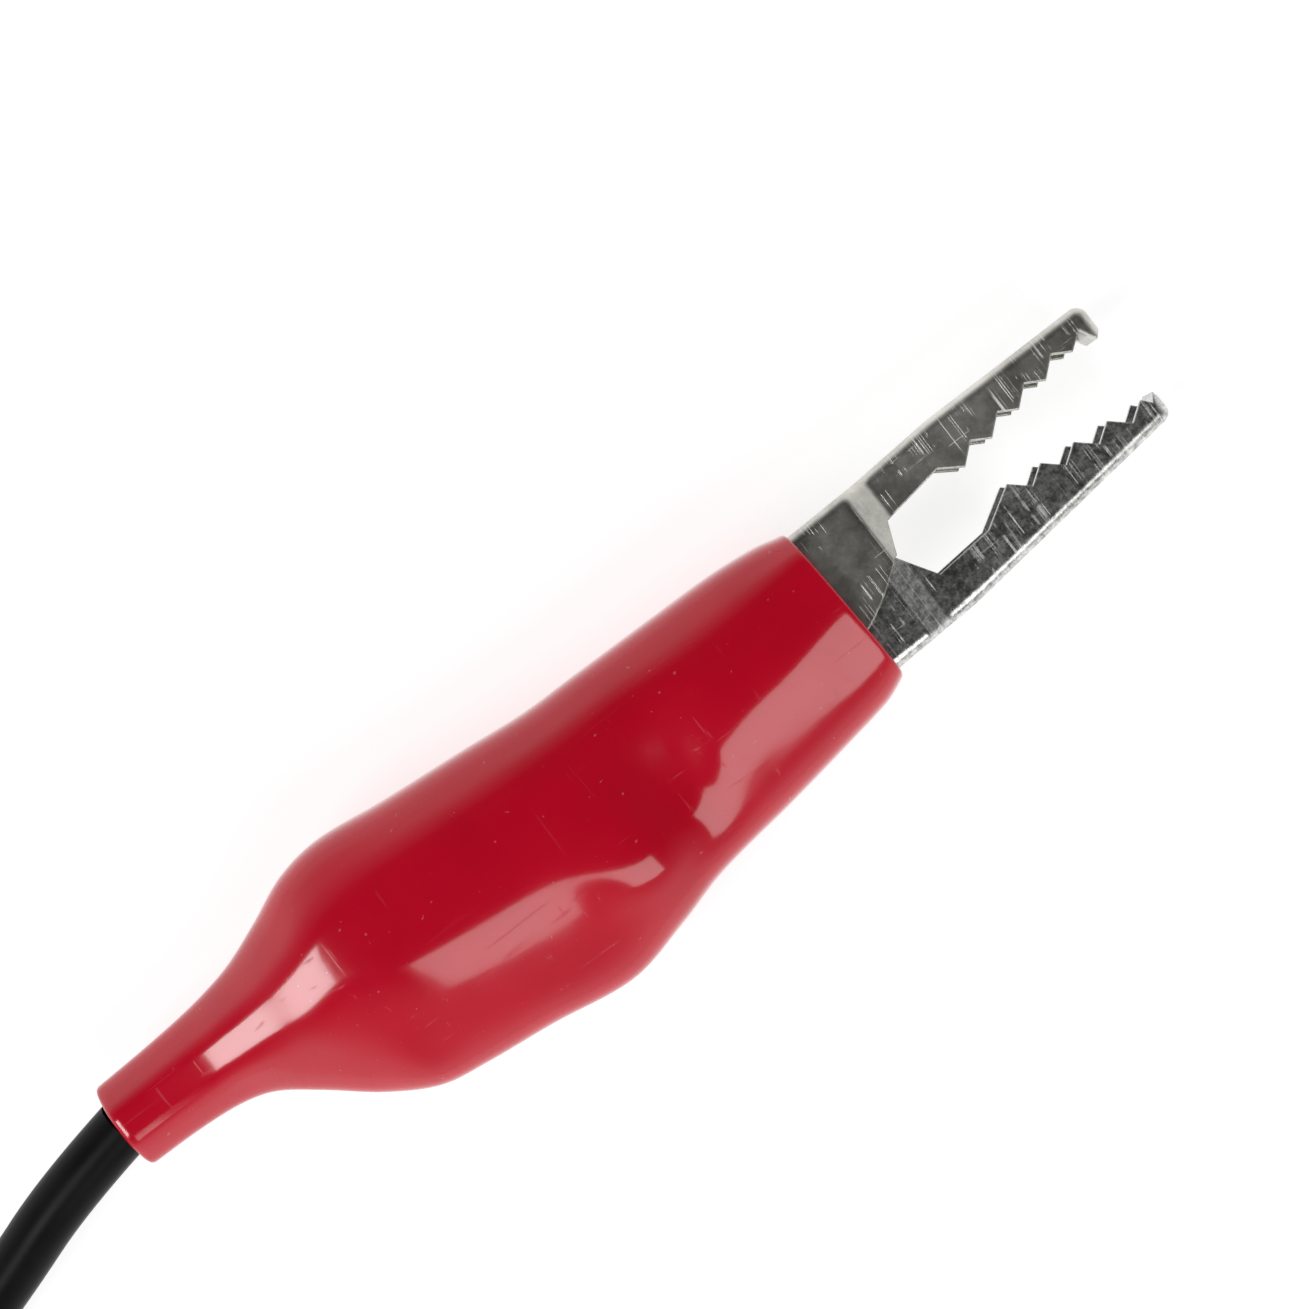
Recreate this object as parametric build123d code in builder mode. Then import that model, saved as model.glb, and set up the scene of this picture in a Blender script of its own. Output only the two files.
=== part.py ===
from build123d import *
import math
import os

# Alligator clip lead: a flexible cord with a sprung crocodile clip in a soft vinyl boot on each end.
# The near clip lies on its side. X runs from its cord to its jaw tips, Z is up, and the hinge is along Z.
# The origin is under the middle of the near clip, on the surface that the lead lies on.

# Driving dimensions, in millimetres.
MID_Z = 5.0                      # height of the clip's middle plane
SHEET = 0.6                      # steel thickness
PIVOT = (8.0, 0.6)               # centre of the rivet
EAR_HALF = 3.5                   # half width over the wire jaw's ears
WIRE_TAIL_HALF = 2.9             # half width over the wire jaw's tail
WIRE_NOSE_HALF = 2.45            # half width over the wire jaw's nose
LEVER_HALF = 2.8                 # half width over the lever jaw's ears
LEVER_TAIL_HALF = 2.4            # half width over the lever jaw's tail
LEVER_NOSE_HALF = 2.2            # half width over the lever jaw's nose
BEND = 0.55                      # outside radius of the folded edges
JOGGLE_CORNER = 0.6              # outside rounding where the cheeks change width
INNER_CORNER = 0.2               # inside rounding there
RIVET_R = 1.2
RIVET_HOLE_R = 1.25
RIVET_HEAD_R, RIVET_HEAD_H = 2.1, 0.5
TAIL_END = -17.3                 # where both tails end
TAIL_CORNER = 1.5                # rounding of the tails' corners
NOSE_END = 31.5                  # front of the clip
NECK_END = -31.5                 # back of the boot
NECK_Y = 2.07                    # height of the cord's axis in the boot's neck

# Teeth: the first tip, the step from tip to tip, and the depth of a notch.
WIRE_TIP, WIRE_STEP, WIRE_NOTCH = (29.38, 3.84), (-1.92, -0.318), (-0.94, 0.54)
LEVER_TIP, LEVER_STEP, LEVER_NOTCH = (30.61, -0.09), (-1.94, 0.183), (-0.97, -0.68)
TEETH = 5

# Tabs folded in under the cord's insulation at the wire jaw's tail.
TAB_FRONT = -14.8
TAB_Y, TAB_H = 1.8, 0.6
TAB_OFFSET, TAB_W = 1.55, 2.5

# Spring round the rivet.
SPRING_WIRE_R = 0.35
SPRING_R = 1.95
SPRING_SPAN = 2.7
SPRING_TURNS = 3

# Terminal screw through the wire jaw's tail.
SCREW_AT = (-10.2, 5.853)
SCREW_TILT = 5.61                # slope of the tail, in degrees
SCREW_R = 1.2
SCREW_HEAD_R, SCREW_HEAD_H = 2.0, 1.3
WASHER_R, WASHER_H = 2.2, 0.5
SLOT_W, SLOT_D = 0.55, 0.6

# Cord.
CORD_R = 1.5
STRAND_R = 0.4
CORD_END_X = -15.4

# Boot: the wall is even over the clip, fits the cord behind NECK_WALL_END and thins from LIP_WALL_START.
WALL = 0.7
LIP_WALL = 0.3
NECK_FIT = 0.05                  # gap between the neck and the cord
NECK_WALL_END = -24.5
LIP_WALL_START = 9.0
LIP_TOP_X, LIP_BOTTOM_X = 12.6, 13.1

# Hank of put-away cord: two round end loops that meet in a waist, in layers.
HANK_AT = (-79.2, -8.5)
LOOP_OFFSET, LOOP_R = 18.5, 9.2
WAIST_HALF = 3.4
HANK_LAYERS = 3
TIE_T, TIE_W, TIE_GAP = 0.5, 5.0, 0.05

# The far clip is the near one turned about Y, further along the lead.
FAR_PLACE = Location((-143.5, -0.5, 2 * MID_Z), (0, 180, 0))


def tube(points, radii, radius):
    """A round bar along straight runs joined by tangent arcs."""
    with BuildPart() as bar:
        with BuildLine() as path:
            FilletPolyline(*points, radius=radii)
        with BuildSketch(path.line ^ 0):
            Circle(radius)
        sweep(path=path.line)
    return bar.part


def bend_radii(points, share=0.45):
    """The largest arc that each corner's two runs leave room for."""
    steps = [Vector(*b) - Vector(*a) for a, b in zip(points, points[1:])]
    radii = []
    for before, after in zip(steps, steps[1:]):
        turn = before.get_angle(after)
        shorter = min(before.length, after.length)
        radii.append(share * shorter / math.tan(math.radians(turn) / 2))
    return radii


def value_at(stations, x):
    """The value at x, straight between stations of (x, value)."""
    for (x0, value0), (x1, value1) in zip(stations, stations[1:]):
        if x0 <= x <= x1:
            return value0 + (value1 - value0) * (x - x0) / (x1 - x0)
    return stations[-1][1]


def envelope(stations, inset, corner, tail_corner, height=12):
    """A block whose half width follows stations of (x, half width), seen along Y."""
    side = [(x, MID_Z + half - inset) for x, half in stations]
    other = [(x, MID_Z - half + inset) for x, half in reversed(stations)]
    corners = [tail_corner] + [corner] * (2 * len(stations) - 2) + [tail_corner]
    with BuildPart() as block:
        with BuildSketch(Plane.XZ):
            with BuildLine():
                FilletPolyline(*side, *other, radius=corners, close=True)
            make_face()
        extrude(amount=height, both=True)
    return block.part


def slab(outline):
    """A thick plate through the whole width, of the side outline that a function draws."""
    with BuildPart() as plate:
        with BuildSketch(Plane.XY.offset(MID_Z)):
            with BuildLine():
                outline()
            make_face()
        extrude(amount=EAR_HALF + 1, both=True)
    return plate.part


def fold_edges(part, spine, widths):
    """The edges between the spine and the cheeks: the outermost along the spine's outline."""
    found = []
    for edge in part.edges():
        middle = edge @ 0.5
        along = abs((edge % 0.5).X)
        half = value_at(widths, middle.X)
        if along > 0.5 and abs(abs(middle.Z - MID_Z) - half) < 0.03:
            if abs(middle.Y - value_at(spine, middle.X)) < 0.12:
                found.append(edge)
    return found


# ---------------------------------------------------------------- wire jaw
WIRE_FRONT = 31.15
WIRE_SPINE = [
    (TAIL_END, 6.55), (-1.0, 4.95), (3.0, 4.95), (16.9, 5.27), (21.5, 5.58), (WIRE_FRONT, 5.58),
]
WIRE_SPINE_BENDS = [12.0, 12.0, 6.0, 6.0]
WIRE_WIDTHS = [
    (TAIL_END, WIRE_TAIL_HALF), (1.2, WIRE_TAIL_HALF), (3.0, EAR_HALF),
    (15.95, EAR_HALF), (17.35, WIRE_NOSE_HALF), (WIRE_FRONT, WIRE_NOSE_HALF),
]
LEVER_SPINE = [
    (TAIL_END, -5.0), (-11.0, -5.88), (-6.5, -6.88), (0.0, -4.85), (6.0, -3.95),
    (13.0, -3.3), (18.0, -3.15), (NOSE_END, -1.62),
]
LEVER_SPINE_BENDS = [12.0, 4.5, 12.0, 30.0, 30.0, 20.0]
LEVER_WIDTHS = [
    (TAIL_END, LEVER_TAIL_HALF), (0.0, LEVER_TAIL_HALF), (2.0, LEVER_HALF),
    (15.2, LEVER_HALF), (16.6, LEVER_NOSE_HALF), (NOSE_END, LEVER_NOSE_HALF),
]


def teeth(tip, step, notch):
    """Points of a row of teeth from the front tooth back, each notch behind its tip."""
    points = []
    for k in range(TEETH):
        x, y = tip[0] + k * step[0], tip[1] + k * step[1]
        points.append((x, y))
        if k < TEETH - 1:
            points.append((x + notch[0], y + notch[1]))
    return points


def wire_outline():
    """Side outline of the wire jaw: spine, nose, teeth, ear round the rivet and tail."""
    FilletPolyline(*WIRE_SPINE, (WIRE_FRONT, 4.0), radius=WIRE_SPINE_BENDS + [0.62])
    Polyline(
        (WIRE_FRONT, 4.0), (30.75, 3.62), (30.28, 4.52),
        *teeth(WIRE_TIP, WIRE_STEP, WIRE_NOTCH),
        (20.54, 3.33), (17.03, 2.81), (16.33, 1.2), (16.1, 1.13),
    )
    ThreePointArc((16.1, 1.13), (13.1, -0.79), (8.2, -1.6))
    ThreePointArc((8.2, -1.6), (5.3, -0.75), (3.6, 1.0))
    Polyline((3.6, 1.0), (1.2, 2.6), (-13.6, 4.0), (TAB_FRONT, 1.5), (TAIL_END, 1.5), WIRE_SPINE[0])


def lever_outline():
    """Side outline of the lever jaw: spine, nose, teeth, ear round the rivet and tail."""
    FilletPolyline(*LEVER_SPINE, (NOSE_END, -0.62), radius=LEVER_SPINE_BENDS + [0.55])
    Polyline(
        (NOSE_END, -0.62), (31.35, -0.12), (31.02, -0.58),
        *teeth(LEVER_TIP, LEVER_STEP, LEVER_NOTCH),
        (20.75, -0.62), (17.52, -0.88), (16.23, 1.17), (15.4, 2.5),
    )
    ThreePointArc((15.4, 2.5), (10.5, 3.45), (5.6, 2.4))
    Polyline((5.6, 2.4), (4.4, 0.2), (1.6, -2.2), (-6.5, -4.4), (TAIL_END, -3.1), LEVER_SPINE[0])


def hollow(spine, inside, widths):
    """The space inside a folded jaw: under its spine, between its cheeks, behind its nose plate."""
    inner_spine = [(x, y + inside * SHEET) for x, y in spine]
    back_x, front_x = TAIL_END - 2, spine[-1][0] - SHEET
    back, front = (back_x, inner_spine[0][1]), (front_x, inner_spine[-1][1])
    open_y = inside * 14
    stations = [(back_x, widths[0][1])] + widths[1:-1] + [(front_x, widths[-1][1])]
    between_cheeks = envelope(stations, SHEET, INNER_CORNER, INNER_CORNER, height=16)
    with BuildPart() as space:
        with BuildSketch(Plane.XY.offset(MID_Z)):
            with BuildLine():
                Polyline(back, *inner_spine[:-1], front, (front_x, open_y), (back_x, open_y), close=True)
            make_face()
        extrude(amount=EAR_HALF + 1, both=True)
        add(between_cheeks, mode=Mode.INTERSECT)
    return space.part


wire_plate = slab(wire_outline)
wire_block = envelope(WIRE_WIDTHS, 0, JOGGLE_CORNER, TAIL_CORNER)
wire_space = hollow(WIRE_SPINE, -1, WIRE_WIDTHS)
with BuildPart() as wire_jaw:
    add(wire_plate)
    add(wire_block, mode=Mode.INTERSECT)
    fillet(fold_edges(wire_jaw.part, WIRE_SPINE, WIRE_WIDTHS), BEND)
    add(wire_space, mode=Mode.SUBTRACT)
    # Tabs folded in under the cord's insulation.
    for side in (-1, 1):
        with Locations(((TAIL_END + TAB_FRONT) / 2, TAB_Y, MID_Z + side * TAB_OFFSET)):
            Box(TAB_FRONT - TAIL_END, TAB_H, TAB_W)
    # Rivet hole through both ears.
    with Locations((*PIVOT, MID_Z)):
        Cylinder(RIVET_HOLE_R, 2 * EAR_HALF + 2, mode=Mode.SUBTRACT)
    # Threaded hole of the terminal screw, drawn at its outside radius.
    with Locations(Location((*SCREW_AT, MID_Z), (90, SCREW_TILT, 0))):
        Cylinder(SCREW_R + 0.05, 3, mode=Mode.SUBTRACT)
wire_jaw.part.label = "wire_jaw"

lever_plate = slab(lever_outline)
lever_block = envelope(LEVER_WIDTHS, 0, JOGGLE_CORNER, TAIL_CORNER)
lever_space = hollow(LEVER_SPINE, 1, LEVER_WIDTHS)
with BuildPart() as lever_jaw:
    add(lever_plate)
    add(lever_block, mode=Mode.INTERSECT)
    fillet(fold_edges(lever_jaw.part, LEVER_SPINE, LEVER_WIDTHS), BEND)
    add(lever_space, mode=Mode.SUBTRACT)
    with Locations((*PIVOT, MID_Z)):
        Cylinder(RIVET_HOLE_R, 2 * EAR_HALF + 2, mode=Mode.SUBTRACT)
lever_jaw.part.label = "lever_jaw"


# ---------------------------------------------------------------- rivet, spring and terminal
with BuildPart() as pivot_rivet:
    head_inner = EAR_HALF + 0.02
    with Locations((*PIVOT, MID_Z)):
        Cylinder(RIVET_R, 2 * head_inner)
        head_middle = head_inner + RIVET_HEAD_H / 2
        with Locations((0, 0, head_middle), (0, 0, -head_middle)):
            Cylinder(RIVET_HEAD_R, RIVET_HEAD_H)
    rims = [
        edge for edge in pivot_rivet.part.edges().filter_by(GeomType.CIRCLE)
        if abs(edge.center().Z - MID_Z) > head_middle
    ]
    fillet(rims, 0.4)
pivot_rivet.part.label = "pivot_rivet"


def spring():
    """A torsion spring: turns round the rivet and a leg along the inside of each tail."""
    wire_leg_end = (-7.4, 4.6)
    lever_leg_end = (-6.6, -5.45)
    starts = []
    for end, sign in ((wire_leg_end, 1), (lever_leg_end, -1)):
        # The leg is tangent to the coil, so it leaves at right angles to a radius.
        away = Vector(end[0] - PIVOT[0], end[1] - PIVOT[1])
        lean = math.acos(SPRING_R / away.length)
        angle = math.atan2(away.Y, away.X) - sign * lean
        starts.append(angle)
    sweep_angle = (starts[0] - starts[1]) % (2 * math.pi) + 2 * math.pi * SPRING_TURNS
    pitch = SPRING_SPAN / (sweep_angle / (2 * math.pi))
    low = MID_Z - SPRING_SPAN / 2
    turned = Vector(math.cos(starts[0]), math.sin(starts[0]), 0)
    with BuildPart() as coil:
        with BuildLine(Plane((*PIVOT, low), x_dir=turned, z_dir=(0, 0, 1))) as turns:
            Helix(pitch, SPRING_SPAN, SPRING_R, lefthand=True)
        with BuildSketch(turns.line ^ 0):
            Circle(SPRING_WIRE_R)
        sweep(path=turns.line)
        high = low + SPRING_SPAN
        for angle, end, z in ((starts[0], wire_leg_end, low), (starts[1], lever_leg_end, high)):
            root = (PIVOT[0] + SPRING_R * math.cos(angle), PIVOT[1] + SPRING_R * math.sin(angle), z)
            with Locations(root):
                Sphere(SPRING_WIRE_R)
            with BuildLine() as leg:
                Line(root, (*end, z))
            with BuildSketch(leg.line ^ 0):
                Circle(SPRING_WIRE_R)
            sweep(path=leg.line)
    return coil.part


torsion_spring = spring()
torsion_spring.label = "torsion_spring"

# Everything on the screw's axis is measured from the outside of the tail, inwards.
SCREW_PLANE = Plane(
    origin=(*SCREW_AT, MID_Z),
    x_dir=(0, 0, 1),
    z_dir=(-math.sin(math.radians(SCREW_TILT)), -math.cos(math.radians(SCREW_TILT)), 0),
)
STRAND_LEVEL = SHEET + STRAND_R + 0.03
WASHER_LEVEL = STRAND_LEVEL + STRAND_R + 0.03
HEAD_LEVEL = WASHER_LEVEL + WASHER_H + 0.02

with BuildPart() as clamp_washer:
    with BuildSketch(SCREW_PLANE.offset(WASHER_LEVEL)):
        Circle(WASHER_R)
        Circle(SCREW_R + 0.15, mode=Mode.SUBTRACT)
    extrude(amount=WASHER_H)
    chamfer(clamp_washer.edges().filter_by(GeomType.CIRCLE).group_by(SortBy.RADIUS)[-1], 0.1)
clamp_washer.part.label = "clamp_washer"

with BuildPart() as terminal_screw:
    with BuildSketch(SCREW_PLANE.offset(-0.2)):
        Circle(SCREW_R)
    extrude(amount=HEAD_LEVEL + 0.2)
    with BuildSketch(SCREW_PLANE.offset(HEAD_LEVEL)):
        Circle(SCREW_HEAD_R)
    extrude(amount=SCREW_HEAD_H)
    with BuildSketch(SCREW_PLANE.offset(HEAD_LEVEL + SCREW_HEAD_H - SLOT_D)):
        Rectangle(2 * SCREW_HEAD_R + 1, SLOT_W)
    extrude(amount=SLOT_D + 1, mode=Mode.SUBTRACT)
terminal_screw.part.label = "terminal_screw"

# Stripped strands: out of the insulation, over to one side of the screw and along under the washer.
SLOPE = math.tan(math.radians(SCREW_TILT))
STRAND_Z = MID_Z + SCREW_R + STRAND_R + 0.12


def beside_screw(x):
    """A point of the clamped strands at x, a strand's depth under the tail's inner face."""
    depth = STRAND_LEVEL / math.cos(math.radians(SCREW_TILT))
    return (x, SCREW_AT[1] - depth - SLOPE * (x - SCREW_AT[0]), STRAND_Z)


CORD_END_POINTS = [
    (NECK_END, NECK_Y, MID_Z),
    (-25.5, NECK_Y - 0.05, MID_Z),
    (-19.2, 3.35, MID_Z),
    (CORD_END_X, 3.75, MID_Z),
]
cord_end = tube(CORD_END_POINTS, bend_radii(CORD_END_POINTS), CORD_R)
cord_end.label = "cord_end"

WIRE_END_POINTS = [
    CORD_END_POINTS[-1],
    (-14.6, 4.1, MID_Z + 0.3),
    beside_screw(-13.2),
    beside_screw(-8.5),
]
wire_end = tube(WIRE_END_POINTS, [0.8, 0.9], STRAND_R)
wire_end.label = "wire_end"

# ---------------------------------------------------------------- boot
# Stations along the boot: x, top, bottom, half depth, and how square the section is (0 round, 1 square).
BOOT_STATIONS = [
    (NECK_END, 4.45, -0.3, 2.375, 0.04),
    (-28.5, 4.57, -0.37, 2.45, 0.04),
    (-26.0, 4.74, -0.63, 2.62, 0.05),
    (-24.3, 4.95, -1.2, 2.95, 0.08),
    (-22.4, 5.35, -2.6, 3.4, 0.12),
    (-20.1, 6.2, -4.5, 4.1, 0.24),
    (-17.6, 7.24, -5.95, 4.65, 0.42),
    (-15.1, 7.6, -6.45, 4.88, 0.46),
    (-11.3, 7.13, -6.92, 4.96, 0.46),
    (-6.7, 6.68, -7.6, 4.995, 0.46),
    (-3.0, 6.3, -6.85, 4.995, 0.46),
    (0.0, 6.25, -6.05, 4.995, 0.48),
    (5.0, 6.16, -5.4, 4.995, 0.5),
    (9.0, 6.06, -4.8, 4.95, 0.54),
    (11.6, 5.8, -4.35, 4.75, 0.58),
    (13.1, 5.52, -3.78, 4.4, 0.62),
]


def boot_loft(stations, wall):
    """The boot's outer form, or with a wall, the space inside it."""
    with BuildPart() as form:
        for x, top, bottom, half_depth, square in stations:
            thin = wall(x)
            middle = (top + bottom) / 2
            half_y, half_z = (top - bottom) / 2 - thin, half_depth - thin
            corner = (1 - square) * min(half_y, half_z)
            with BuildSketch(Plane((x, middle, MID_Z), x_dir=(0, 1, 0), z_dir=(1, 0, 0))):
                RectangleRounded(2 * half_y, 2 * half_z, min(corner, 0.97 * min(half_y, half_z)))
        loft()
    return form.part


def wall_at(x):
    """Wall thickness: even, and thinning over the last few millimetres to the lip."""
    if x < NECK_WALL_END:
        return BOOT_STATIONS[0][3] - CORD_R - NECK_FIT
    if x < LIP_WALL_START:
        return WALL
    share = (x - LIP_WALL_START) / (LIP_BOTTOM_X - LIP_WALL_START)
    return WALL + (LIP_WALL - WALL) * min(1, share)


# The cavity runs past both ends, so that the boot is open at its neck and its lip.
first, last = BOOT_STATIONS[0], BOOT_STATIONS[-1]
longer = [(first[0] - 1, *first[1:])] + BOOT_STATIONS + [(last[0] + 1, *last[1:])]
boot_outside = boot_loft(BOOT_STATIONS, lambda x: 0)
boot_inside = boot_loft(longer, wall_at)
with BuildPart() as boot:
    add(boot_outside)
    add(boot_inside, mode=Mode.SUBTRACT)
    # The lip leans, further forward on the lever's side.
    lip_angle = math.degrees(math.atan2(LIP_BOTTOM_X - LIP_TOP_X, last[1] - last[2]))
    with Locations(Location((LIP_TOP_X + 5, last[1], MID_Z), (0, 0, lip_angle))):
        Box(10, 40, 20, mode=Mode.SUBTRACT)
boot.part.label = "boot"

# ---------------------------------------------------------------- free cord
HX, HY = HANK_AT
LAYER = 2 * CORD_R + 0.05
TOP_Z = CORD_R + (HANK_LAYERS - 1) * LAYER

# The route of the cord from the near boot to the hank, and from the hank to the far boot.
NEAR_ROUTE = [
    (NECK_END, NECK_Y, MID_Z),
    (-36.0, 1.25, 4.6),
    (-41.2, -0.5, 3.3),
    (-47.3, -2.2, 2.0),
    (-53.6, -1.85, 1.6),
    (-59.4, 0.1, CORD_R),
]
FAR_ROUTE = [
    (-98.6, 0.6, TOP_Z),
    (-103.0, 0.9, 7.3),
    (-107.6, 1.75, 5.9),
    (-112.0, 1.57, MID_Z),
]
routes = {}
for name, route in (("cord_run", NEAR_ROUTE), ("far_cord_run", FAR_ROUTE)):
    radii = bend_radii(route)
    routes[name] = tube(route, radii, CORD_R)
    routes[name].label = name
    length = sum((Vector(*b) - Vector(*a)).length for a, b in zip(route, route[1:]))
    print(name, "radii", [round(r, 1) for r in radii], "runs", round(length, 1))
    print(name, "volume over section", round(routes[name].volume / (math.pi * CORD_R**2), 2))


def hank_outline(outward):
    """Outline of the hank, two end loops and a waist, this far outside its strands' middle."""
    points = []
    for side, first_angle in ((1, -120), (-1, 60)):
        for k in range(7):
            angle = math.radians(first_angle + 40 * k)
            x = HX + side * LOOP_OFFSET + (LOOP_R + outward) * math.cos(angle)
            points.append((x, HY + (LOOP_R + outward) * math.sin(angle)))
        points.append((HX, HY + side * (WAIST_HALF + outward)))
    return points


with BuildPart() as cord_hank:
    with BuildSketch():
        with BuildLine():
            Spline(*hank_outline(CORD_R), periodic=True)
        make_face()
    extrude(amount=TOP_Z + CORD_R)
    # A groove round the waist, where the tie pulls the strands together.
    with Locations((HX, HY, (TOP_Z + CORD_R) / 2)):
        Box(TIE_W + 2 * TIE_GAP, 40, 40, mode=Mode.SUBTRACT)
        Box(TIE_W + 2 * TIE_GAP, 2 * WAIST_HALF + 2 * CORD_R, TOP_Z + CORD_R - 2 * (TIE_T + TIE_GAP))
cord_hank.part.label = "cord_hank"

with BuildPart() as hank_tie:
    tie_y = 2 * (WAIST_HALF + CORD_R + TIE_GAP + TIE_T)
    with Locations((HX, HY, (TOP_Z + CORD_R) / 2)):
        Box(TIE_W, tie_y, TOP_Z + CORD_R)
        Box(TIE_W, tie_y - 2 * TIE_T, TOP_Z + CORD_R - 2 * TIE_T, mode=Mode.SUBTRACT)
hank_tie.part.label = "hank_tie"

# ---------------------------------------------------------------- write the nodes
clip_pieces = [
    wire_jaw.part, lever_jaw.part, pivot_rivet.part, torsion_spring, terminal_screw.part,
    clamp_washer.part, wire_end, cord_end, boot.part,
]
for piece in clip_pieces:
    name = piece.label
    export_step(piece, f"parts/{name}.step")
    far = piece.moved(FAR_PLACE)
    far.label = "far_" + name
    export_step(far, f"parts/{far.label}.step")
for piece in (*routes.values(), cord_hank.part, hank_tie.part):
    export_step(piece, f"parts/{piece.label}.step")
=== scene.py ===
import math

import bpy
from mathutils import Matrix, Vector


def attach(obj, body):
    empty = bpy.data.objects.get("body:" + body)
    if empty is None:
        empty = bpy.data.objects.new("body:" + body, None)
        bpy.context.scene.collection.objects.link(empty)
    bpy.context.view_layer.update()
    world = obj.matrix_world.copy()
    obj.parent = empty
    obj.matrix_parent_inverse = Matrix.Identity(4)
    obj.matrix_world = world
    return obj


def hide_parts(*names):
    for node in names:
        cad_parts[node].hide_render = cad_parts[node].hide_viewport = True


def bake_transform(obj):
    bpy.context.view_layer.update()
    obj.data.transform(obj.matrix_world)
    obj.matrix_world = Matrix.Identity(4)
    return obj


# An alligator clip lead, lying on a plain white table and seen from straight above.
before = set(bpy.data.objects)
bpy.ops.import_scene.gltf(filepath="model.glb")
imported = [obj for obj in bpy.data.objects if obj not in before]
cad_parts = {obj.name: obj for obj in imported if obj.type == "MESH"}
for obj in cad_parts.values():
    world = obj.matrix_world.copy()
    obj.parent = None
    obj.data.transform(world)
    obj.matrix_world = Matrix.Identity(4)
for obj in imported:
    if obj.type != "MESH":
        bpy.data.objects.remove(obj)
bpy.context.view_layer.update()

# Lengths are in millimetres, except where a name or a comment says metres.
MM = 0.001
MID_Z = 5.0  # height of both clips' middle plane
CORD_R = 1.5

# The far clip is the near one turned about Y and set further along the lead.
FAR_PLACE = Matrix.Translation((-143.5, -0.5, 2 * MID_Z)) @ Matrix.Rotation(math.pi, 4, "Y")


# ------------------------------------------------------------------ helpers
def metres(point):
    """A point in millimetres, as metres."""
    return tuple(c * MM for c in point)


def new_mesh(name, verts, faces):
    """A smooth-shaded mesh object from points in millimetres."""
    mesh = bpy.data.meshes.new(name)
    mesh.from_pydata([metres(v) for v in verts], [], faces)
    mesh.validate()
    mesh.shade_smooth()
    return linked(name, mesh)


def linked(name, data):
    """An object in the scene that shows this data."""
    obj = bpy.data.objects.new(name, data)
    bpy.context.scene.collection.objects.link(obj)
    return obj


def round_curve(name, kind, points, radius):
    """A round bar through points in millimetres, as one open spline of this kind, and that spline."""
    curve = bpy.data.curves.new(name, "CURVE")
    curve.dimensions = "3D"
    curve.bevel_depth = radius * MM
    spline = curve.splines.new(kind)
    spline.points.add(len(points) - 1)
    for spot, point in zip(spline.points, points):
        spot.co = (*metres(point), 1)
    return curve, spline


def placed(obj, place):
    """Moves an object's mesh by a placement given in millimetres."""
    scaled = place.copy()
    scaled.translation *= MM
    obj.data.transform(scaled)
    obj.data.update()
    return obj


def smooth_step(t):
    """Goes from 0 to 1 as t does, with no slope at either end."""
    t = min(1.0, max(0.0, t))
    return t * t * (3 - 2 * t)


def between(stations, x):
    """Values of stations (x, a, b, ...) at x, on a smooth curve through them."""
    if x <= stations[0][0]:
        return stations[0][1:]
    if x >= stations[-1][0]:
        return stations[-1][1:]
    i = max(k for k in range(len(stations) - 1) if stations[k][0] <= x)
    x0, x1 = stations[i][0], stations[i + 1][0]
    t = (x - x0) / (x1 - x0)
    t2, t3 = t * t, t * t * t
    weights = (2 * t3 - 3 * t2 + 1, t3 - 2 * t2 + t, 3 * t2 - 2 * t3, t3 - t2)
    values = []
    for c in range(1, len(stations[0])):

        def slope(k):
            a, b = max(0, k - 1), min(len(stations) - 1, k + 1)
            return (stations[b][c] - stations[a][c]) / (stations[b][0] - stations[a][0])

        shares = (stations[i][c], slope(i) * (x1 - x0), stations[i + 1][c], slope(i + 1) * (x1 - x0))
        values.append(sum(w * share for w, share in zip(weights, shares)))
    return tuple(values)


def set_stops(color_ramp, stops):
    """Gives a ramp its stops of (position, grey or colour)."""
    elements = color_ramp.elements
    for k, (position, colour) in enumerate(stops):
        spot = elements[k] if k < 2 else elements.new(position)
        spot.position = position
        if not hasattr(colour, "__len__"):
            colour = (colour, colour, colour)
        spot.color = (*colour, 1)


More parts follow.
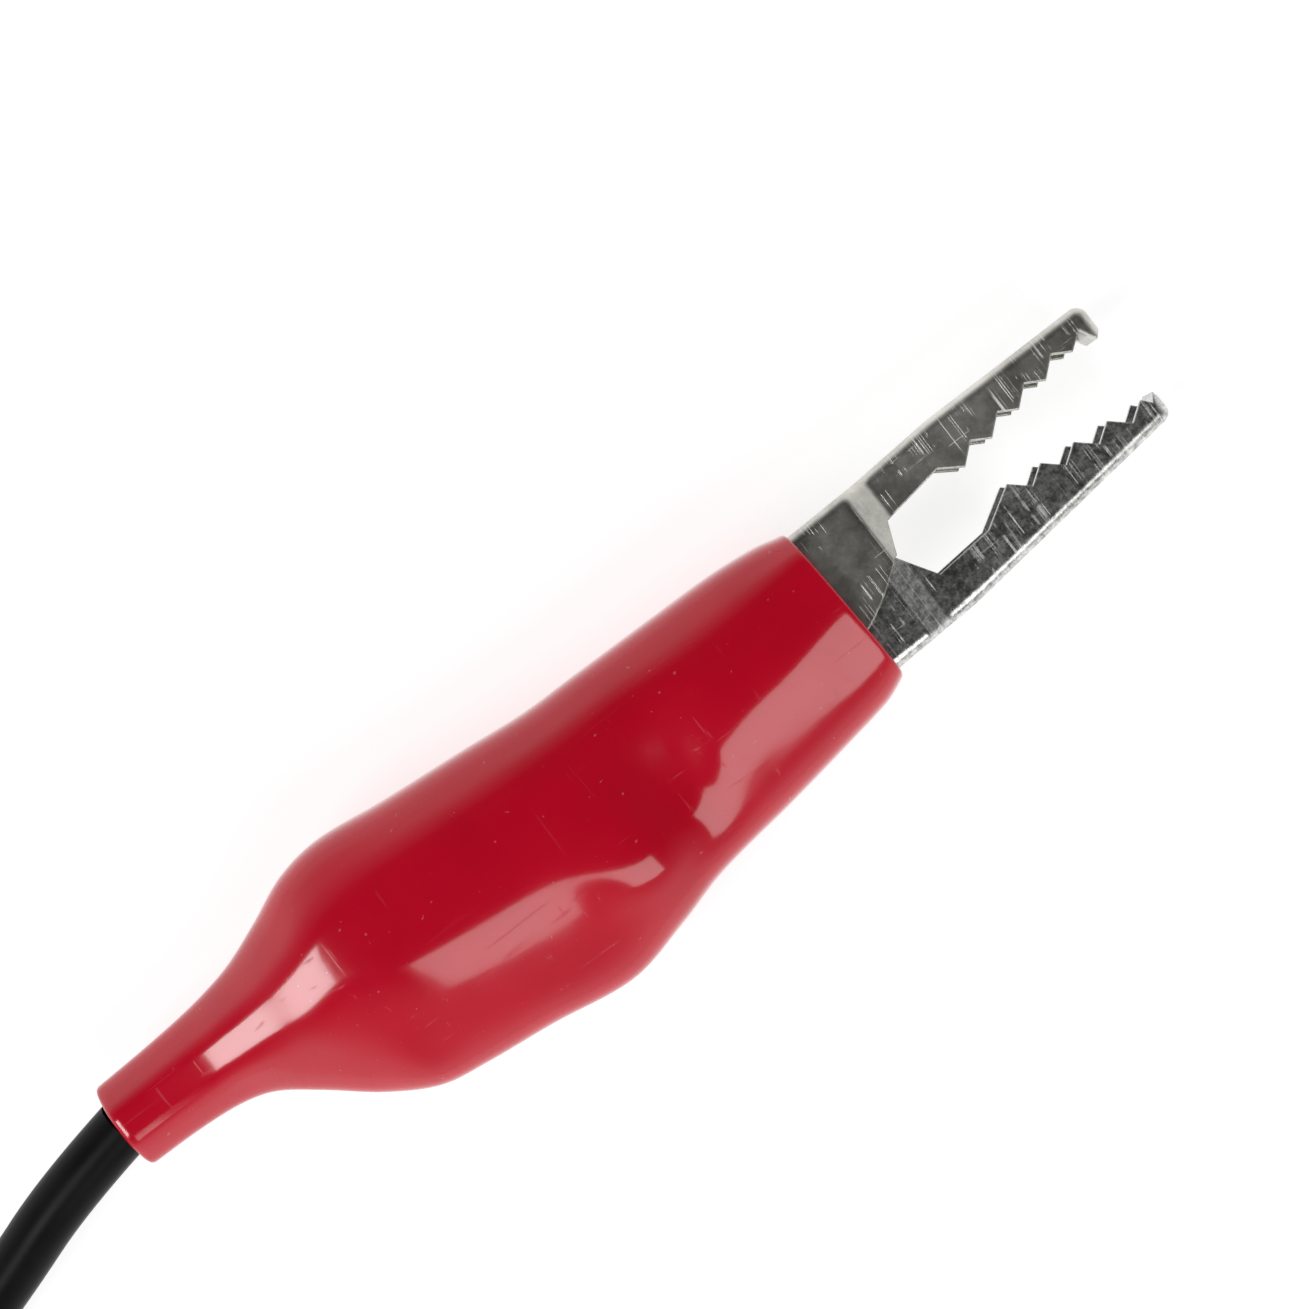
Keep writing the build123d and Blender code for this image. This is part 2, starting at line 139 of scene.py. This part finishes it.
# ------------------------------------------------------------------ materials
class Shader:
    """A small helper that builds a node material around one Principled shader."""

    def __init__(self, name, **values):
        self.material = bpy.data.materials.new(name)
        self.material.use_nodes = True
        self.tree = self.material.node_tree
        self.bsdf = self.tree.nodes["Principled BSDF"]
        for key, value in values.items():
            self.bsdf.inputs[key.replace("_", " ")].default_value = value
        self.place = self.node("ShaderNodeTexCoord").outputs["Object"]

    def node(self, kind, **settings):
        made = self.tree.nodes.new(kind)
        for key, value in settings.items():
            setattr(made, key, value)
        return made

    def link(self, a, b):
        self.tree.links.new(a, b)

    def stretched(self, scale, turn=(0, 0, 0)):
        """Object coordinates scaled and turned."""
        mapping = self.node("ShaderNodeMapping")
        mapping.inputs["Scale"].default_value = scale
        mapping.inputs["Rotation"].default_value = turn
        self.link(self.place, mapping.inputs["Vector"])
        return mapping.outputs["Vector"]

    def noise(self, scale, detail, rough, vector=None):
        """A noise with this many features to the metre."""
        made = self.node("ShaderNodeTexNoise")
        made.inputs["Scale"].default_value = scale
        made.inputs["Detail"].default_value = detail
        made.inputs["Roughness"].default_value = rough
        self.link(vector or self.place, made.inputs["Vector"])
        return made.outputs["Fac"]

    def ramp(self, value, stops):
        """A ramp through stops of (position, grey or colour)."""
        made = self.node("ShaderNodeValToRGB")
        set_stops(made.color_ramp, stops)
        self.link(value, made.inputs["Fac"])
        return made.outputs["Color"]

    def marked(self, factor, base, colour):
        """The base colour, turning to another where the factor is high."""
        made = self.node("ShaderNodeMix", data_type="RGBA")
        mix_factor, mix_base, mix_colour = made.inputs[0], made.inputs[6], made.inputs[7]
        self.link(factor, mix_factor)
        self.link(base, mix_base)
        mix_colour.default_value = (*colour, 1)
        return made.outputs[2]

    def math(self, operation, a, b):
        """Works on two values, each a socket or a number."""
        made = self.node("ShaderNodeMath", operation=operation)
        for socket, value in zip(made.inputs, (a, b)):
            if hasattr(value, "links"):
                self.link(value, socket)
            else:
                socket.default_value = value
        return made.outputs[0]

    def bump(self, height, strength, distance, normal=None):
        """Relief of a height pattern, this deep in metres, over another normal."""
        made = self.node("ShaderNodeBump")
        made.inputs["Strength"].default_value = strength
        made.inputs["Distance"].default_value = distance
        self.link(height, made.inputs["Height"])
        if normal is not None:
            self.link(normal, made.inputs["Normal"])
        return made.outputs["Normal"]

    def rounded(self, radius):
        """Softens the shading of sharp edges, to this radius in metres."""
        made = self.node("ShaderNodeBevel", samples=6)
        made.inputs["Radius"].default_value = radius
        return made.outputs["Normal"]

    def set(self, name, socket):
        """Feeds a socket into the Principled shader."""
        self.link(socket, self.bsdf.inputs[name])


def vinyl():
    """Glossy deep red dip-moulded vinyl, with faint flow marks, hair scratches and specks of dust."""
    s = Shader(
        "boot_vinyl",
        IOR=1.5,
        Coat_Weight=0.25,
        Coat_Roughness=0.05,
        Subsurface_Weight=0.06,
        Subsurface_Radius=(0.6, 0.05, 0.03),
        Subsurface_Scale=MM,
    )
    cloud = s.noise(140, 3, 0.55)
    base = s.ramp(cloud, [(0.3, (0.52, 0.0004, 0.016)), (0.7, (0.60, 0.0008, 0.020))])
    specks = s.ramp(s.noise(2600, 2, 0.5), [(0.73, 0.0), (0.76, 1.0)])
    s.set("Base Color", s.marked(s.math("MULTIPLY", specks, 0.25), base, (0.75, 0.35, 0.35)))
    scratch_a = s.noise(1.0, 2, 0.6, s.stretched((90, 2600, 2600), (0, 0, 0.5)))
    scratch_b = s.noise(1.0, 2, 0.6, s.stretched((2600, 110, 2600), (0, 0, -0.3)))
    lines = s.math(
        "MAXIMUM",
        s.ramp(scratch_a, [(0.66, 0.0), (0.72, 1.0)]),
        s.ramp(scratch_b, [(0.68, 0.0), (0.73, 1.0)]),
    )
    rough = s.math("ADD", s.math("MULTIPLY", lines, 0.16), s.math("MULTIPLY", cloud, 0.14))
    s.set("Roughness", s.math("ADD", rough, 0.07))
    waves = s.bump(s.noise(230, 2, 0.4), 0.25, 0.00012)
    fine = s.bump(s.noise(1500, 3, 0.5), 0.10, 0.00002, waves)
    s.set("Normal", s.bump(lines, 0.15, 0.00001, fine))
    return s.material


STEEL_EDGE = 0.00014  # radius of the sheet's edges, in metres


def steel(name, dark, light, rough, scratch=1.0, speckle=0.15):
    """Dull nickel-plated steel: mottled and speckled plating, with fine bright scratches across the jaw."""
    s = Shader(name, Metallic=1.0)
    mottle = s.noise(900, 5, 0.65)
    blotch = s.noise(150, 3, 0.55)
    cloud = s.math("MULTIPLY", s.math("ADD", mottle, blotch), 0.5 * (1 - speckle))
    mixed = s.math("ADD", cloud, s.math("MULTIPLY", s.noise(3000, 4, 0.75), speckle))
    base = s.ramp(mixed, [(0.40, dark), (0.60, light)])
    # Scratches lie in bundles: straight fine lines, kept where slower patterns let them through.
    bundles = s.ramp(s.noise(420, 2, 0.5), [(0.45, 0.0), (0.53, 1.0)])
    ends = s.ramp(s.noise(1100, 1, 0.5), [(0.42, 0.0), (0.50, 1.0)])
    fine = s.noise(1.0, 1, 0.5, s.stretched((24000, 60, 60)))
    long = s.noise(1.0, 1, 0.5, s.stretched((9000, 130, 130), (0, 0, 0.05)))
    along = s.noise(1.0, 1, 0.5, s.stretched((200, 9000, 200), (0, 0, 0.3)))
    kept = s.math("MULTIPLY", bundles, ends)
    lines = s.math("MULTIPLY", kept, s.ramp(fine, [(0.61, 0.0), (0.69, 1.0)]))
    cuts = s.math("MULTIPLY", s.ramp(long, [(0.72, 0.0), (0.77, 1.0)]), ends)
    few = s.math("MULTIPLY", s.ramp(along, [(0.74, 0.0), (0.79, 1.0)]), s.math("MULTIPLY", ends, 0.6))
    marks = s.math("MAXIMUM", s.math("MAXIMUM", lines, cuts), few)
    s.set("Base Color", s.marked(s.math("MULTIPLY", marks, 0.8 * scratch), base, (0.93, 0.93, 0.90)))
    worn = s.math("MULTIPLY", marks, 0.36 * scratch)
    s.set("Roughness", s.math("ADD", s.math("MULTIPLY", mixed, 0.30), s.math("ADD", worn, rough - 0.15)))
    pits = s.noise(5200, 3, 0.6)
    grain = s.bump(s.math("ADD", mottle, pits), 0.35, 0.000010, s.rounded(STEEL_EDGE))
    s.set("Normal", s.bump(marks, 0.5 * scratch, 0.000008, grain))
    return s.material


def black_vinyl():
    """Satin black cord insulation with a slight orange-peel surface."""
    s = Shader("cord_vinyl", IOR=1.5, Specular_IOR_Level=0.10)
    cloud = s.noise(300, 3, 0.55)
    s.set("Base Color", s.ramp(cloud, [(0.3, (0.003, 0.003, 0.0033)), (0.7, (0.006, 0.006, 0.0064))]))
    s.set("Roughness", s.math("ADD", s.math("MULTIPLY", cloud, 0.12), 0.33))
    s.set("Normal", s.bump(s.noise(900, 3, 0.5), 0.25, 0.00002))
    return s.material


def copper():
    """Bright bare copper strands."""
    s = Shader("bare_copper", Metallic=1.0)
    cloud = s.noise(900, 3, 0.5)
    s.set("Base Color", s.ramp(cloud, [(0.3, (0.62, 0.26, 0.14)), (0.7, (0.86, 0.45, 0.27))]))
    s.set("Roughness", s.math("ADD", s.math("MULTIPLY", cloud, 0.2), 0.18))
    s.set("Normal", s.bump(s.noise(2400, 2, 0.5), 0.3, 0.00001))
    return s.material


def strap_plastic():
    """Soft black strap with a fine ribbed weave."""
    s = Shader("tie_plastic", IOR=1.48)
    wave = s.node("ShaderNodeTexWave", bands_direction="X")
    wave.inputs["Scale"].default_value = 420
    wave.inputs["Distortion"].default_value = 0.6
    s.link(s.place, wave.inputs["Vector"])
    cloud = s.noise(700, 3, 0.55)
    s.set("Base Color", s.ramp(cloud, [(0.3, (0.012, 0.012, 0.013)), (0.7, (0.035, 0.035, 0.037))]))
    s.set("Roughness", s.math("ADD", s.math("MULTIPLY", cloud, 0.2), 0.5))
    s.set("Normal", s.bump(wave.outputs["Fac"], 0.5, 0.00006))
    return s.material


# ------------------------------------------------------------------ cord and hank
NECK_END, NECK_Y = -31.5, 2.07
NEAR_ROUTE = [
    (NECK_END, NECK_Y, MID_Z),
    (-36.0, 1.25, 4.6),
    (-41.2, -0.5, 3.3),
    (-47.3, -2.2, 2.0),
    (-53.6, -1.85, 1.6),
    (-59.4, 0.1, CORD_R),
]
# The hank lies flat: its middle, where its end loops are centred and their radius, and its layers' heights.
HANK_X, HANK_Y = -79.2, -8.5
LOOP_OFFSET, LOOP_R = 18.5, 9.2
LAYER = 2 * CORD_R + 0.1
TOP_Z = 7.6
FAR_ROUTE = [
    (-98.6, 0.6, TOP_Z),
    (-103.0, 0.9, 7.3),
    (-107.6, 1.75, 5.9),
    (-112.0, 1.57, MID_Z),
]
# The tie pulls the strands in to a waist.
WAIST_HALF = 2.3
WAIST_X = 4.6
TIE_T, TIE_W = 0.5, 5.0


def end_loop(side, angles, size, heights):
    """Points round one end of the hank, at each angle in degrees."""
    points = []
    for angle, z in zip(angles, heights):
        a = math.radians(angle)
        x = HANK_X + side * LOOP_OFFSET + size * math.cos(a)
        points.append((x, HANK_Y + size * math.sin(a), z))
    return points


def waist(side, half, z):
    """Two points where the strands pass through the tie, going against X on the upper side."""
    z = max(z, CORD_R + TIE_T + 0.1)
    return [(HANK_X + side * x, HANK_Y + side * half, z) for x in (WAIST_X, -WAIST_X)]


def hank_points():
    """The cord's turns in the hank, each lying on the one before and a little different."""
    points = []
    sizes = ((LOOP_R + 0.75, LOOP_R + 0.55), (LOOP_R + 0.35, LOOP_R + 0.8))
    for turn, (left_size, right_size) in enumerate(sizes):
        z = CORD_R + turn * LAYER
        up = z + LAYER
        points += end_loop(1, (120,), right_size, (z,))
        points += waist(1, WAIST_HALF, z)
        points += end_loop(-1, range(60, 301, 40), left_size, (z,) * 7)
        points += waist(-1, WAIST_HALF + 0.15 * turn, z)
        climb = (z, z, z + 0.7 * LAYER, up, up, up)
        points += end_loop(1, range(-120, 81, 40), right_size, climb)
    points += end_loop(1, (120,), LOOP_R + 0.5, (TOP_Z,))
    points += waist(1, WAIST_HALF + 0.1, TOP_Z)
    points += end_loop(-1, (60,), LOOP_R + 0.5, (TOP_Z,))
    return points


def lead_cord(material):
    """The whole free cord, from the near boot through the hank to the far boot."""
    route = NEAR_ROUTE + hank_points() + FAR_ROUTE
    curve, spline = round_curve("lead_cord", "NURBS", route, CORD_R)
    spline.order_u = 3
    spline.use_endpoint_u = True
    curve.resolution_u = 10
    curve.bevel_resolution = 8
    curve.materials.append(material)
    return linked("lead_cord", curve)


STRAP_T = 0.225
STRAP_CORNER = 1.5
STRAP_TUCK = 0.55  # how far the first turn lies inside the tie's outline
STRAP_LAP = 10  # how many points of the loop the end lies over the start for
LAP_LIFT = 0.30
END_TAPER = 0.35
CORNER_STEPS = 6
STRAP_ROOM_Y, STRAP_ROOM_Z = 0.95, 0.02  # room between the cord and the strap


def tie_strap(material):
    """A strap wrapped once and a bit round the hank's waist."""
    half_y = WAIST_HALF + CORD_R + STRAP_ROOM_Y
    high = TOP_Z + CORD_R + STRAP_ROOM_Z
    in_y, in_z = half_y - STRAP_CORNER, high - STRAP_CORNER
    centres = ((in_y, in_z), (-in_y, in_z), (-in_y, STRAP_CORNER), (in_y, STRAP_CORNER))
    loop = []
    for quarter, (cy, cz) in enumerate(centres):
        for k in range(CORNER_STEPS + 1):
            a = math.radians(90 * (quarter + k / CORNER_STEPS))
            loop.append((cy, cz, math.cos(a), math.sin(a)))
    ring = loop + loop[:STRAP_LAP]
    verts, faces = [], []
    # The strap's section, as shares of its half width and of its thickness.
    across = [(-1, 0.0), (-0.94, 0.5), (0.94, 0.5), (1, 0.0), (0.94, -0.5), (-0.94, -0.5)]
    sides = len(across)
    for i, (cy, cz, ny, nz) in enumerate(ring):
        radius = STRAP_CORNER - STRAP_TUCK + LAP_LIFT * smooth_step((i - len(loop) + 2) / 4)
        taper = 1 - END_TAPER * smooth_step((i - len(ring) + 4) / 3)
        for u, v in across:
            r = radius + v * STRAP_T
            verts.append((HANK_X + u * TIE_W / 2 * taper, HANK_Y + cy + ny * r, cz + nz * r))
        if i:
            for k in range(sides):
                a, b = (i - 1) * sides + k, (i - 1) * sides + (k + 1) % sides
                faces.append((a, b, b + sides, a + sides))
    faces.append(tuple(reversed(range(sides))))
    faces.append(tuple(range(len(verts) - sides, len(verts))))
    strap = new_mesh("tie_strap", verts, faces)
    strap.data.materials.append(material)
    return strap


# ------------------------------------------------------------------ spring
PIVOT = (8.0, 0.6)
SPRING_R, SPRING_WIRE_R, SPRING_SPAN, SPRING_TURNS = 1.95, 0.35, 2.7, 3
WIRE_LEG_END, LEVER_LEG_END = (-7.4, 4.6), (-6.6, -5.45)
SPRING_STEPS = 150


def spring_wire(name, material):
    """The torsion spring: turns round the rivet, with a leg along the inside of each tail."""
    starts = []
    for end, sign in ((WIRE_LEG_END, 1), (LEVER_LEG_END, -1)):
        away = (Vector(end) - Vector(PIVOT)).to_tuple()
        starts.append(math.atan2(away[1], away[0]) - sign * math.acos(SPRING_R / math.hypot(*away)))
    sweep = (starts[0] - starts[1]) % math.tau + math.tau * SPRING_TURNS
    bottom = MID_Z - SPRING_SPAN / 2
    points = [(*WIRE_LEG_END, bottom)]
    for k in range(SPRING_STEPS + 1):
        a = starts[0] - sweep * k / SPRING_STEPS
        x, y = PIVOT[0] + SPRING_R * math.cos(a), PIVOT[1] + SPRING_R * math.sin(a)
        points.append((x, y, bottom + SPRING_SPAN * k / SPRING_STEPS))
    points.append((*LEVER_LEG_END, bottom + SPRING_SPAN))
    curve, _ = round_curve(name, "POLY", points, SPRING_WIRE_R)
    curve.bevel_resolution = 5
    curve.use_fill_caps = True
    path = bpy.data.objects.new(name + "_path", curve)
    mesh = bpy.data.meshes.new_from_object(path)
    bpy.data.objects.remove(path)
    mesh.materials.clear()
    mesh.materials.append(material)
    return linked(name, mesh)


# ------------------------------------------------------------------ boot
# Stations along the boot. Each section is a smooth loop round a flattened octagon: x, its top and bottom,
# the half depth of its broad faces, where these end above and below, and the half depths of its top
# and bottom. From x = -17.6 on, the lower end and the bottom's half depth came from a fitting program.
BOOT_STATIONS = [
    (NECK_END, 4.45, -0.30, 2.375, 3.02, 1.12, 0.95, 0.95),
    (-28.5, 4.57, -0.37, 2.45, 3.05, 1.10, 1.00, 0.98),
    (-26.0, 4.74, -0.63, 2.62, 3.10, 1.00, 1.10, 1.00),
    (-24.3, 4.95, -1.20, 2.95, 3.20, 0.80, 1.30, 1.00),
    (-22.4, 5.35, -2.60, 3.40, 3.30, 0.60, 1.60, 1.10),
    (-20.1, 6.20, -4.50, 4.10, 3.60, 0.30, 2.10, 1.30),
    (-17.6, 7.24, -5.95, 4.65, 4.20, 0.49, 2.70, 1.98),
    (-15.1, 7.58, -6.45, 4.88, 4.40, -0.45, 2.90, 1.90),
    (-11.3, 7.12, -6.92, 4.96, 4.30, -0.99, 2.90, 2.07),
    (-6.7, 6.68, -7.60, 4.99, 4.00, -1.71, 2.90, 2.04),
    (-3.0, 6.30, -6.85, 4.99, 3.80, -3.55, 2.90, 2.44),
    (0.0, 6.25, -6.05, 4.99, 3.70, -2.82, 2.90, 2.78),
    (5.0, 6.16, -5.40, 4.99, 3.60, -0.94, 3.00, 2.87),
    (9.0, 6.06, -4.80, 4.98, 3.70, -0.28, 3.20, 2.98),
    (11.6, 5.80, -4.36, 4.94, 3.90, 0.32, 3.30, 3.08),
    (12.6, 5.55, -4.00, 4.90, 4.00, 0.52, 3.40, 3.23),
    (13.1, 5.45, -3.75, 4.87, 4.00, 0.52, 3.40, 3.33),
]
WALL, LIP_WALL = 0.7, 0.32
AROUND, ALONG, INSIDE = 128, 150, 60  # steps round each section, and along the outer and the inner skin
LIP_STEPS, RIM_STEPS = 8, 6

# The lip leans back from its lowest point to its top, and the skin leans into it from LEAN_FROM on.
LIP_X, LIP_RAKE = 13.1, 0.5
LIP_TOP_Y, LIP_BOTTOM_Y = 5.0, -3.8
LEAN_FROM, LEAN_LENGTH = 6.0, 6.0
LIP_ROUND = 0.16
RIM_ROUND = 0.25
CORD_FIT = 0.06  # gap between the neck and the cord
# Where the skin starts to thin, and over what length: towards the lip, and towards the neck.
LIP_THIN_FROM, LIP_THIN = 9, 3
NECK_THIN_FROM, NECK_THIN = -22, 4

# The vinyl sinks in front of the lever's thumb pad: where, how far across, and how deep.
DENT_X, DENT_Y, DENT_LONG, DENT_HIGH, DENT_DEEP = 0.85, -1.5, 2.4, 3.8, 0.80


def section_corners(x):
    """The corners of the octagon-like loop that a section is drawn round, as (y, height over the middle)."""
    top, bottom, half_z, up, low, crest, foot = between(BOOT_STATIONS, x)
    above = [(top, crest), ((top + up) / 2, (crest + half_z) / 2), (up, half_z)]
    below = [(low, half_z), ((low + bottom) / 2, (foot + half_z) / 2), (bottom, foot)]
    side = above + [((up + low) / 2, half_z)] + below
    other = [(y, -z) for y, z in reversed(side)]
    return [(top, 0.0)] + side + [(bottom, 0.0)] + other


def section(x, inset):
    """The boot's section at x, this far inside its outer surface, as (y, z) points from the top round."""
    corners = section_corners(x)
    count = len(corners)
    points = []
    for k in range(AROUND):
        place = count * k / AROUND
        i, t = int(place), place % 1
        near = [Vector(corners[(i + j) % count]) for j in (-1, 0, 1, 2)]
        weights = ((1 - t) ** 3, 3 * t**3 - 6 * t**2 + 4, -3 * t**3 + 3 * t**2 + 3 * t + 1, t**3)
        slopes = (-((1 - t) ** 2), 3 * t**2 - 4 * t, -3 * t**2 + 2 * t + 1, t**2)
        spot = sum((w * c for w, c in zip(weights, near)), Vector((0, 0))) / 6
        along = sum((w * c for w, c in zip(slopes, near)), Vector((0, 0))).normalized()
        y, z = spot.x - inset * along.y, spot.y + inset * along.x
        sink = DENT_DEEP * math.exp(-(((x - DENT_X) / DENT_LONG) ** 2) - ((y - DENT_Y) / DENT_HIGH) ** 2)
        points.append((y, MID_Z + z * (1 - sink / MID_Z)))
    return points


def boot_ring(x, inset):
    """One ring of the boot, leaning as the lip does near the front."""
    lean = smooth_step((x - LEAN_FROM) / LEAN_LENGTH)
    ring = []
    for y, z in section(x, inset):
        share = (LIP_TOP_Y - y) / (LIP_TOP_Y - LIP_BOTTOM_Y)
        ring.append((x - lean * LIP_RAKE * (1 - share), y, z))
    return ring


def inner_inset(x, front, neck_wall):
    """The skin's thickness at x: thin at the lip, full along the body, and down to the neck's."""
    if x > LIP_THIN_FROM:
        return LIP_WALL + (WALL - LIP_WALL) * smooth_step((front - x) / LIP_THIN)
    return WALL + (neck_wall - WALL) * smooth_step((NECK_THIN_FROM - x) / NECK_THIN)


def boot(name, material):
    """A dip-moulded boot: outer skin, rolled lip, inner skin and the neck's rim."""
    front, back = LIP_X - LIP_ROUND, NECK_END + RIM_ROUND
    neck_half = BOOT_STATIONS[0][3]
    neck_wall = neck_half - CORD_R - CORD_FIT
    lip, rim = LIP_WALL / 2, neck_wall / 2
    rings = [boot_ring(back + (front - back) * k / ALONG, 0.0) for k in range(ALONG + 1)]
    for k in range(1, LIP_STEPS):
        a = math.pi * k / LIP_STEPS
        rings.append(boot_ring(front + lip * math.sin(a), lip * (1 - math.cos(a))))
    for k in range(INSIDE + 1):
        x = front + (back - front) * k / INSIDE
        rings.append(boot_ring(x, inner_inset(x, front, neck_wall)))
    for k in range(1, RIM_STEPS):
        a = math.pi * k / RIM_STEPS
        rings.append(boot_ring(back - RIM_ROUND * math.sin(a), rim * (1 + math.cos(a))))
    verts = [point for ring in rings for point in ring]
    faces = []
    count = len(rings)
    for i in range(count):
        j = (i + 1) % count
        for k in range(AROUND):
            m = (k + 1) % AROUND
            faces.append((i * AROUND + k, i * AROUND + m, j * AROUND + m, j * AROUND + k))
    obj = new_mesh(name, verts, faces)
    obj.data.materials.append(material)
    return obj


# ------------------------------------------------------------------ put it together
red = vinyl()
jaw_steel = steel("jaw_steel", (0.42, 0.41, 0.375), (0.70, 0.69, 0.635), 0.30)
lever_steel = steel("lever_steel", (0.26, 0.26, 0.25), (0.82, 0.82, 0.80), 0.27, 0.8, speckle=0.6)
rivet_steel = steel("rivet_steel", (0.42, 0.42, 0.40), (0.62, 0.62, 0.60), 0.28, 0.6)
spring_steel = steel("spring_steel", (0.16, 0.16, 0.16), (0.34, 0.34, 0.34), 0.34, 0.4)
screw_steel = steel("screw_steel", (0.45, 0.45, 0.42), (0.68, 0.68, 0.64), 0.27, 0.6)
black = black_vinyl()
bare = copper()
strap = strap_plastic()

NODE_MATERIALS = {
    "wire_jaw": jaw_steel,
    "lever_jaw": lever_steel,
    "pivot_rivet": rivet_steel,
    "terminal_screw": screw_steel,
    "clamp_washer": screw_steel,
    "wire_end": bare,
    "cord_end": black,
}
for node, material in NODE_MATERIALS.items():
    for prefix in ("", "far_"):
        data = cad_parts[prefix + node].data
        data.materials.clear()
        data.materials.append(material)

# Each boot skin is built in place of its CAD boot, which is hidden.
near_boot = boot("near_boot_skin", red)
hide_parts("boot")
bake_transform(near_boot)

far_boot = placed(boot("far_boot_skin", red), FAR_PLACE)
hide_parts("far_boot")
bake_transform(far_boot)

# Each spring's turns wind up between its two legs.
near_spring = spring_wire("near_spring_wire", spring_steel)
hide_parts("torsion_spring")
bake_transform(near_spring)

far_spring = placed(spring_wire("far_spring_wire", spring_steel), FAR_PLACE)
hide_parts("far_torsion_spring")
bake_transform(far_spring)

tie = tie_strap(strap)
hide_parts("hank_tie")
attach(tie, "lead")

cord = lead_cord(black)
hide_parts("cord_run", "cord_hank", "far_cord_run")
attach(cord, "lead")


# ------------------------------------------------------------------ table, light and camera
TABLE_SIZE, TABLE_GAP = 3, 0.00005  # metres


def table():
    """A pale table top, just under the lead."""
    bpy.ops.mesh.primitive_plane_add(size=TABLE_SIZE, location=(0, 0, -TABLE_GAP))
    top = bpy.context.object
    top.name = "table_top"
    s = Shader("table_white", Roughness=0.6, Emission_Color=(1, 1, 1, 1), Emission_Strength=0.72)
    s.set("Base Color", s.ramp(s.noise(3, 2, 0.5), [(0.3, 0.53), (0.7, 0.55)]))
    top.data.materials.append(s.material)


def softbox(name, place, size, power):
    """A rectangular soft light, with its place and size in metres, facing the origin."""
    light = bpy.data.lights.new(name, "AREA")
    light.shape = "RECTANGLE"
    light.size, light.size_y = size
    light.energy = power
    obj = linked(name, light)
    obj.location = place
    obj.rotation_euler = (-Vector(place)).to_track_quat("-Z", "Y").to_euler()


def studio_world():
    """A studio that is bright all round, low down, and dim overhead."""
    world = bpy.data.worlds.new("studio")
    bpy.context.scene.world = world
    world.use_nodes = True
    tree = world.node_tree
    direction = tree.nodes.new("ShaderNodeTexCoord")
    split = tree.nodes.new("ShaderNodeSeparateXYZ")
    ramp = tree.nodes.new("ShaderNodeValToRGB")
    tree.links.new(direction.outputs["Generated"], split.inputs[0])
    tree.links.new(split.outputs["Z"], ramp.inputs["Fac"])
    tree.links.new(ramp.outputs["Color"], tree.nodes["Background"].inputs["Color"])
    set_stops(ramp.color_ramp, [(0.0, 1.0), (0.22, 0.95), (0.5, 0.40), (0.8, 0.08), (1.0, 0.05)])


table()
studio_world()
softbox("softbox_low", (-0.006, -0.284, 0.381), (0.26, 0.24), 0.62)
softbox("softbox_left", (-0.285, 0.00, 0.375), (0.17, 0.13), 0.68)
bpy.context.scene.view_settings.view_transform = "Standard"

# The camera looks straight down on the near clip, turned so that the clip points up and to the right.
VIEW_CENTRE = (3.9, 4.6)
VIEW_DISTANCE = 190.0
VIEW_WIDTH = 65.45
VIEW_ROLL = 37.6  # degrees
SENSOR = 36.0
eye = bpy.data.cameras.new("camera")
eye.sensor_width = SENSOR
eye.lens = SENSOR * VIEW_DISTANCE / VIEW_WIDTH
eye.clip_start = 5 * MM
camera = linked("camera", eye)
camera.location = metres((*VIEW_CENTRE, MID_Z + VIEW_DISTANCE))
camera.rotation_euler = (0, 0, -math.radians(VIEW_ROLL))
bpy.context.scene.camera = camera
